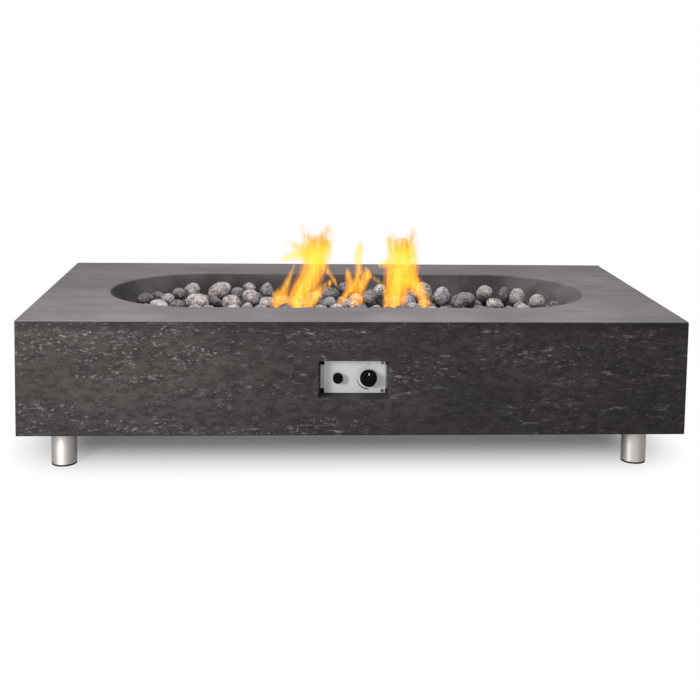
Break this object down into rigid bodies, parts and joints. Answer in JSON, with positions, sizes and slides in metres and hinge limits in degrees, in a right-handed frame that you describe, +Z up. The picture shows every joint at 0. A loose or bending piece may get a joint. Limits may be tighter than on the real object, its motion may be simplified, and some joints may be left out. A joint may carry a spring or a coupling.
{
  "type": "gas fire pit table",
  "caption": "Low rectangular concrete fire pit table with an oval bowl of lava stones over a gas burner, a recessed panel with a control knob and igniter button, and round steel legs.",
  "frame": {"origin": "on the floor under the middle of the table, level with the undersides of the foot pads", "axes": "+X to the right of a person who faces the control panel, along the table's length; +Y from the control panel's side to the back; +Z up"},
  "size_m": [1.5, 0.75, 0.35],
  "materials": {
    "concrete": "matte",
    "lava_stone": "matte",
    "satin_steel": "satin",
    "brushed_plate": "satin",
    "stainless_sheet": "satin",
    "burner_steel": "satin",
    "galvanised_sheet": "matte",
    "zinc_steel": "satin",
    "spring_steel": "satin",
    "brass": "satin",
    "copper": "satin",
    "battery_case": "satin",
    "black_steel": "matte",
    "black_plastic": "satin",
    "white_plastic": "matte",
    "white_ceramic": "satin",
    "pad_rubber": "matte",
    "hose_rubber": "matte",
    "wire_rubber": "matte"
  },
  "bodies": {
    "table_body": {"concrete_casing": "concrete", "leg_bolts": "zinc_steel", "leg_inserts": "zinc_steel", "burner_pan": "stainless_sheet", "h_burner": "burner_steel", "burner_end_caps": "burner_steel", "burner_feet": "burner_steel", "burner_nipple": "zinc_steel", "burner_locknut": "zinc_steel", "air_mixer": "brass", "orifice_elbow": "brass", "electrode_ceramic": "white_ceramic", "electrode_rod": "burner_steel", "thermocouple_probe": "burner_steel", "probe_clips": "stainless_sheet", "control_bracket": "galvanised_sheet", "control_plate": "brushed_plate", "valve_shield": "black_steel", "plate_screws": "zinc_steel", "bracket_screws": "zinc_steel", "bracket_anchors": "black_plastic", "valve_body": "brass", "valve_screws": "zinc_steel", "valve_bonnet": "brass", "gas_inlet_fitting": "brass", "valve_outlet_fitting": "brass", "burner_hose": "hose_rubber", "hose_nuts": "brass", "igniter_barrel": "black_plastic", "igniter_locknut": "black_plastic", "igniter_battery": "battery_case", "igniter_spring": "spring_steel", "igniter_terminals": "brass", "ignition_wire": "wire_rubber", "thermocouple_nut": "brass", "thermocouple_lead": "copper", "lava_stones_large": "lava_stone", "lava_stones_medium": "lava_stone", "lava_stones_small": "lava_stone", "leg_tube_front_left": "satin_steel", "leg_flange_front_left": "galvanised_sheet", "foot_pad_front_left": "pad_rubber", "leg_tube_front_right": "satin_steel", "leg_flange_front_right": "galvanised_sheet", "foot_pad_front_right": "pad_rubber", "leg_tube_back_left": "satin_steel", "leg_flange_back_left": "galvanised_sheet", "foot_pad_back_left": "pad_rubber", "leg_tube_back_right": "satin_steel", "leg_flange_back_right": "galvanised_sheet", "foot_pad_back_right": "pad_rubber"},
    "valve_rotor": {"valve_plug": "brass", "stem_spring": "spring_steel"},
    "knob": {"knob": "black_plastic", "knob_pointer": "white_plastic", "valve_stem": "zinc_steel"},
    "igniter": {"igniter_button": "black_plastic"}
  },
  "joints": [
    {"name": "valve_turn", "type": "hinge", "parent": "table_body", "child": "valve_rotor", "pos_m": [0.029, -0.31, 0.214], "axis": [0, -1, 0], "range_deg": [0, 180]},
    {"name": "knob_push", "type": "slide", "parent": "valve_rotor", "child": "knob", "axis": [0, 1, 0], "range_m": [0, 0.004], "stiffness_N_per_m": 1000, "springref_m": -0.003, "deforming": ["stem_spring"]},
    {"name": "igniter_press", "type": "slide", "parent": "table_body", "child": "igniter", "axis": [0, 1, 0], "range_m": [0, 0.003], "stiffness_N_per_m": 1500, "springref_m": -0.002, "deforming": ["igniter_spring"]}
  ]
}
